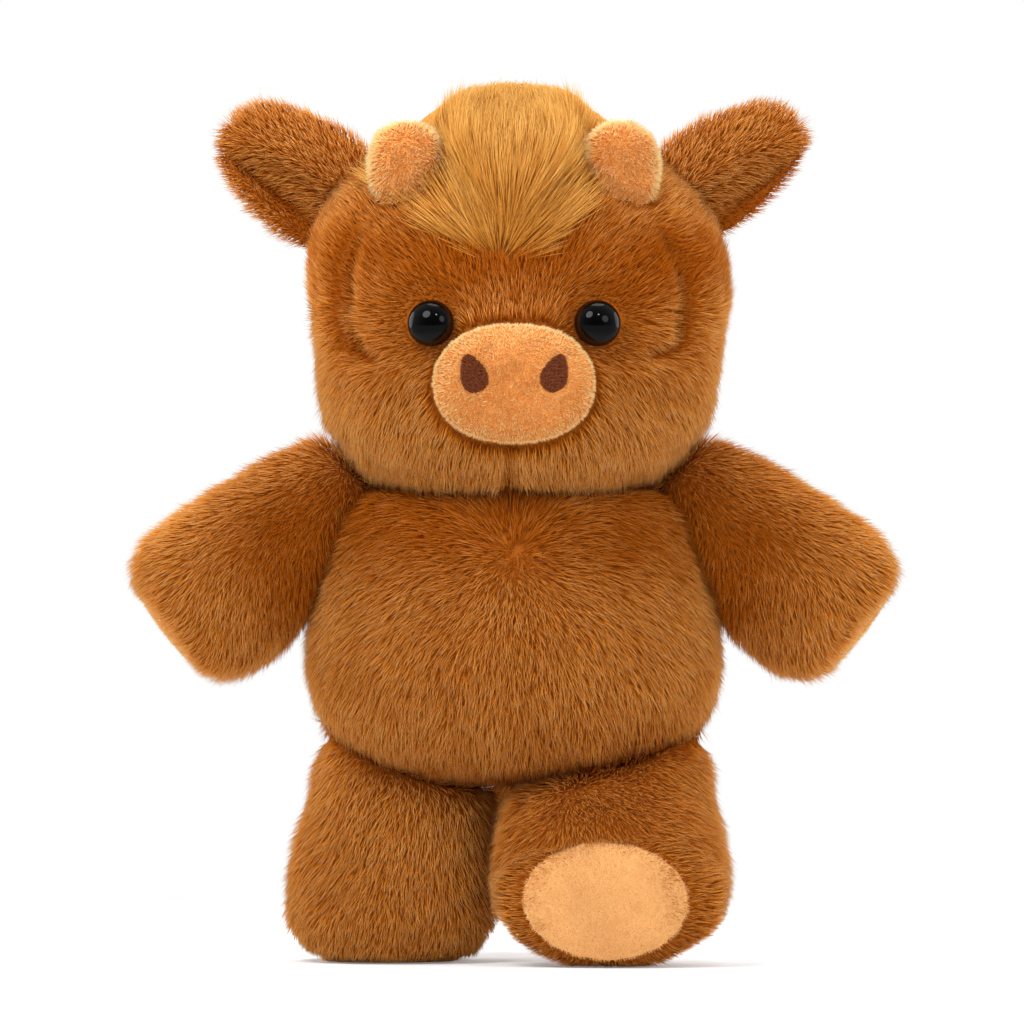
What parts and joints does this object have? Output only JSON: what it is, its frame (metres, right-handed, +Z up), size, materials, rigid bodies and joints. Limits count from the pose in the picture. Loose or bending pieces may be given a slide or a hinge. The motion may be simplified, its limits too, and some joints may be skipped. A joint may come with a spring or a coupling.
{
  "type": "plush cow",
  "caption": "Standing stuffed cow with a big rounded head, short horns, a hairy topknot, sewn limbs that bend at their seams and flat soles to stand on.",
  "frame": {"origin": "middle of the box round the whole toy, on the floor under the feet", "axes": "+Z up, the toy looks along -Y, its own left is +X"},
  "size_m": [0.257, 0.1464, 0.298],
  "materials": {
    "brown_plush": "long soft pile",
    "blond_plush": "long straight hair pile",
    "peach_plush": "short dense pile",
    "sole_plush": "very short pile",
    "brown_thread": "satin stitch",
    "eye_black": "polished",
    "washer_white": "moulded",
    "fibre_fill": "loose polyester fibre",
    "pellets": "small beads in a cloth bag"
  },
  "bodies": {
    "torso": {"torso_cover": "brown_plush", "torso_stuffing": "fibre_fill", "seat_pellet_bag": "pellets", "shoulder_fold_left": "brown_plush", "shoulder_fold_right": "brown_plush", "hip_fold_left": "brown_plush", "hip_fold_right": "brown_plush"},
    "head": {"head_cover": "brown_plush", "head_stuffing": "fibre_fill", "eye_left": "eye_black", "eye_right": "eye_black", "eye_washer_left": "washer_white", "eye_washer_right": "washer_white", "snout": "peach_plush", "nostril_left": "brown_thread", "nostril_right": "brown_thread", "horn_left": "peach_plush", "horn_right": "peach_plush", "topknot": "blond_plush"},
    "ear_left": {"ear_left": "brown_plush"},
    "ear_right": {"ear_right": "brown_plush"},
    "arm_left": {"arm_cover_left": "brown_plush", "arm_stuffing_left": "fibre_fill", "hand_pad_left": "peach_plush"},
    "arm_right": {"arm_cover_right": "brown_plush", "arm_stuffing_right": "fibre_fill", "hand_pad_right": "peach_plush"},
    "leg_left": {"leg_cover_left": "brown_plush", "leg_stuffing_left": "fibre_fill", "foot_pellet_bag_left": "pellets", "foot_sole_left": "sole_plush"},
    "leg_right": {"leg_cover_right": "brown_plush", "leg_stuffing_right": "fibre_fill", "foot_pellet_bag_right": "pellets", "foot_sole_right": "sole_plush"},
    "tail": {"tail": "brown_plush", "tail_tuft": "blond_plush"}
  },
  "joints": [
    {"name": "neck_turn", "type": "hinge", "parent": "torso", "child": "head", "pos_m": [0, -0.0029, 0.1592], "axis": [0, 0, 1], "range_deg": [-25, 25], "stiffness_Nm_per_rad": 0.4},
    {"name": "ear_flop_left", "type": "hinge", "parent": "head", "child": "ear_left", "pos_m": [0.05968, -0.00072, 0.25686], "axis": [0.5823, 0.1393, -0.8009], "range_deg": [-20, 20], "stiffness_Nm_per_rad": 0.05},
    {"name": "ear_flop_right", "type": "hinge", "parent": "head", "child": "ear_right", "pos_m": [-0.05968, -0.00072, 0.25686], "axis": [-0.5823, 0.1393, -0.8009], "range_deg": [-20, 20], "stiffness_Nm_per_rad": 0.05},
    {"name": "arm_raise_left", "type": "hinge", "parent": "torso", "child": "arm_left", "pos_m": [0.0615, -0.0055, 0.1545], "axis": [0, -1, 0], "range_deg": [-15, 20], "stiffness_Nm_per_rad": 0.4, "deforming": ["shoulder_fold_left"]},
    {"name": "arm_raise_right", "type": "hinge", "parent": "torso", "child": "arm_right", "pos_m": [-0.0615, -0.0055, 0.1545], "axis": [0, 1, 0], "range_deg": [-15, 20], "stiffness_Nm_per_rad": 0.4, "deforming": ["shoulder_fold_right"]},
    {"name": "leg_swing_left", "type": "hinge", "parent": "torso", "child": "leg_left", "pos_m": [0.0365, 0, 0.066], "axis": [1, 0, 0], "range_deg": [-16, 22], "stiffness_Nm_per_rad": 1.2, "deforming": ["hip_fold_left"]},
    {"name": "leg_swing_right", "type": "hinge", "parent": "torso", "child": "leg_right", "pos_m": [-0.038, 0.0021, 0.066], "axis": [1, 0, 0], "range_deg": [-16, 22], "stiffness_Nm_per_rad": 1.2, "deforming": ["hip_fold_right"]},
    {"name": "tail_wag", "type": "hinge", "parent": "torso", "child": "tail", "pos_m": [0, 0.0471, 0.101], "axis": [0, 1, 0], "range_deg": [-35, 35], "stiffness_Nm_per_rad": 0.02}
  ]
}
